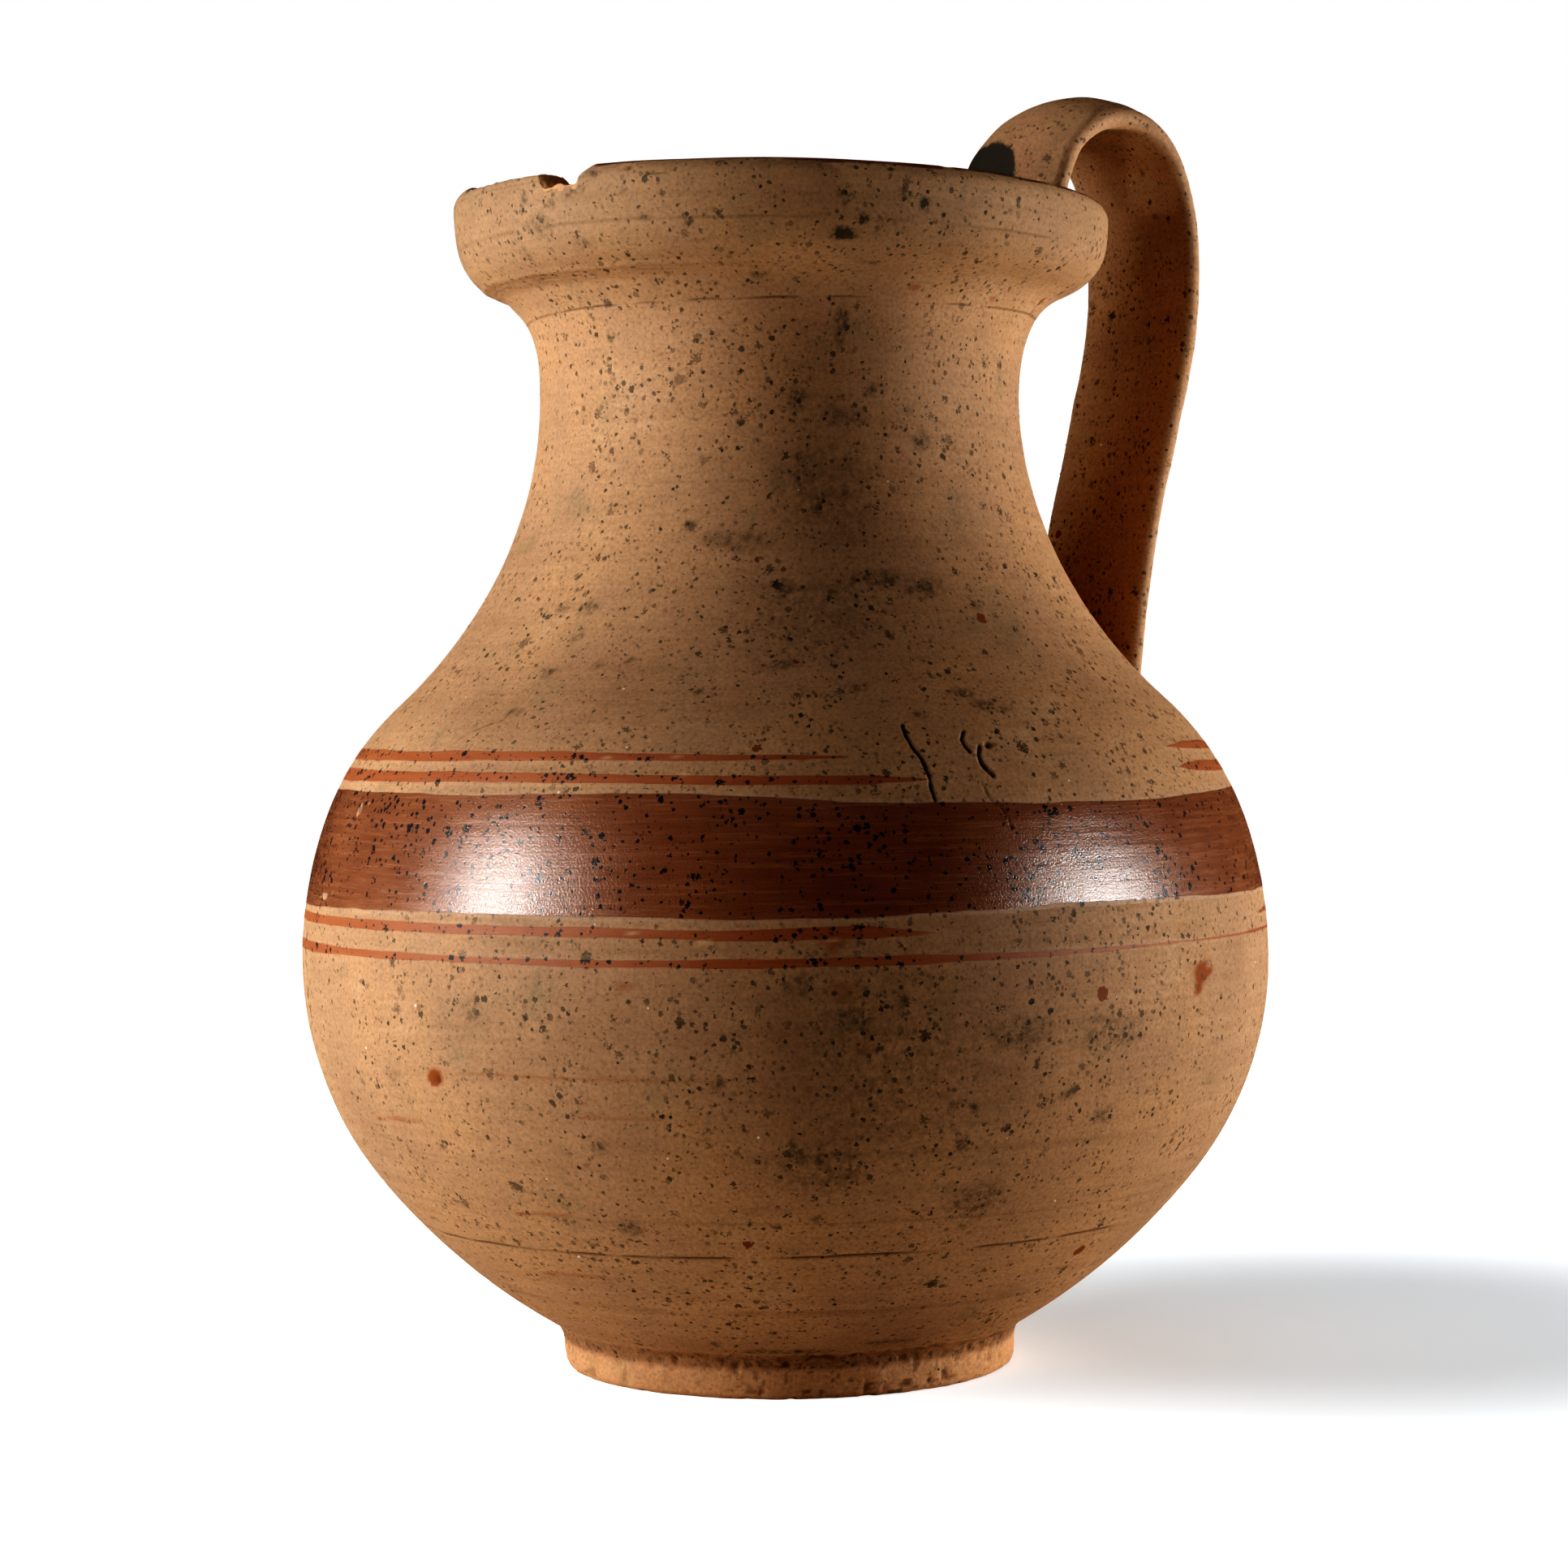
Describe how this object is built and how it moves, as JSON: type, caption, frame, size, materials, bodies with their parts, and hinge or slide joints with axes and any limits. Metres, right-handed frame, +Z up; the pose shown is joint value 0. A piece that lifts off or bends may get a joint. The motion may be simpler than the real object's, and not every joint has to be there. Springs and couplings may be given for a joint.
{
  "type": "terracotta wine jug",
  "caption": "Round-bodied terracotta pouring jug with collar rim, high strap handle, low foot ring and bands of red slip.",
  "frame": {"origin": "centre of the foot ring, on the plane that it stands on", "axes": "+Z up along the jug's axis, +X towards the handle, +Y to the left of the handle seen from the axis"},
  "size_m": [0.1982, 0.1902, 0.2571],
  "materials": {
    "clay": "unglazed, speckled",
    "red_slip": "burnished slip"
  },
  "bodies": {
    "root": {"foot_ring": "clay", "lower_bowl": "clay", "belly_wall": "clay", "neck_wall": "clay", "rim_collar": "clay", "handle_strap": "clay", "rim_luting": "clay", "shoulder_luting": "clay", "slip_upper_line_a": "red_slip", "slip_upper_line_b": "red_slip", "slip_broad_band": "red_slip", "slip_lower_line_a": "red_slip", "slip_lower_line_b": "red_slip", "slip_lip": "red_slip"}
  },
  "joints": []
}
